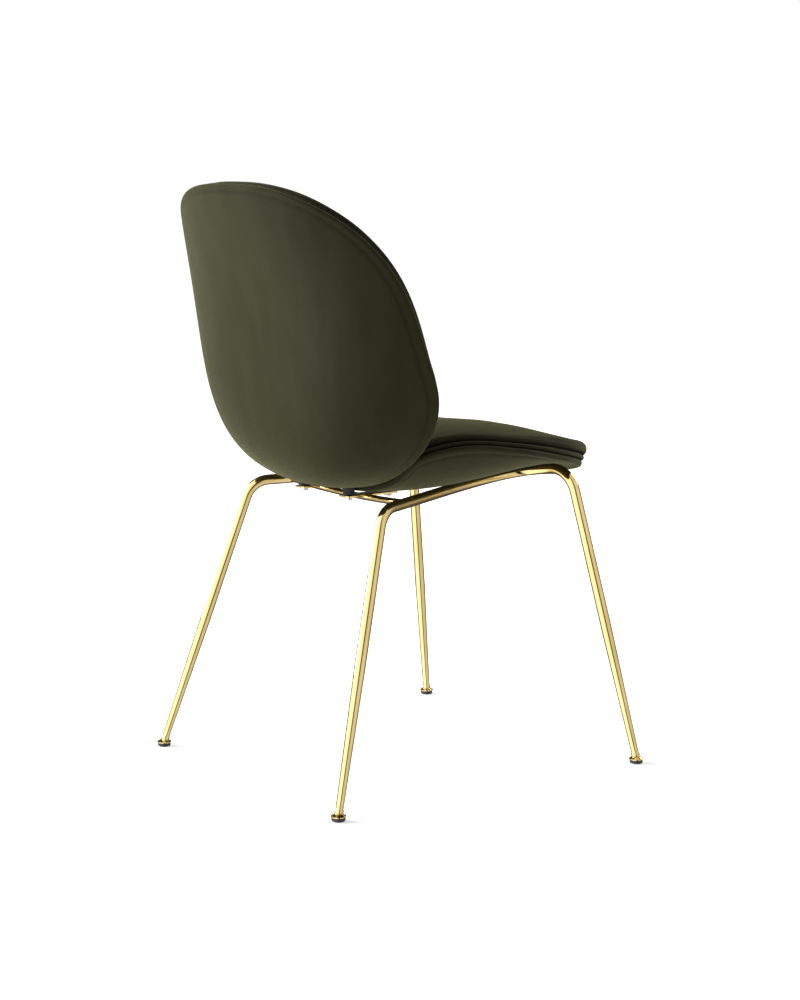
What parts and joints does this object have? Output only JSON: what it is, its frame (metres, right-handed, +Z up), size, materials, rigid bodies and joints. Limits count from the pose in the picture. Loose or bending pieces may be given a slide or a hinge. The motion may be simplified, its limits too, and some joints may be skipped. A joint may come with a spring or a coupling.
{
  "type": "dining chair",
  "caption": "Dining chair with a rounded upholstered seat shell and a wide wrap-around back shell, three-layer soft edges, on slim splayed bent-tube legs with disc feet.",
  "frame": {"origin": "on the floor, under the middle of the chair's bounding box", "axes": "+Z up, -Y the way the sitter faces, X across the chair with the sitter's right at -X"},
  "size_m": [0.562, 0.6059, 0.8699],
  "materials": {
    "brass": "polished brass-coloured plating, clear lacquered",
    "velvet": "dark olive green short-pile velvet",
    "shell": "moulded black shell under the fabric",
    "glide": "black moulded glide",
    "rubber": "black rubber spacer",
    "steel": "zinc-plated steel",
    "insert": "threaded brass insert"
  },
  "bodies": {
    "root": {"back_cushion": "velvet", "back_edge_pad": "velvet", "back_inserts": "insert", "back_outer_cover": "velvet", "back_shell": "shell", "base_bolts": "steel", "base_spacers": "rubber", "base_washers": "steel", "cross_bar_front": "brass", "cross_bar_rear": "brass", "fixing_plate_front_left": "brass", "fixing_plate_front_right": "brass", "fixing_plate_rear_left": "brass", "fixing_plate_rear_right": "brass", "foot_flange_front_left": "brass", "foot_flange_front_right": "brass", "foot_flange_rear_left": "brass", "foot_flange_rear_right": "brass", "glide_front_left": "glide", "glide_front_right": "glide", "glide_rear_left": "glide", "glide_rear_right": "glide", "seat_cushion": "velvet", "seat_edge_pad": "velvet", "seat_inserts": "insert", "seat_shell": "shell", "seat_underside_cover": "velvet", "side_tube_left": "brass", "side_tube_right": "brass"}
  },
  "joints": []
}
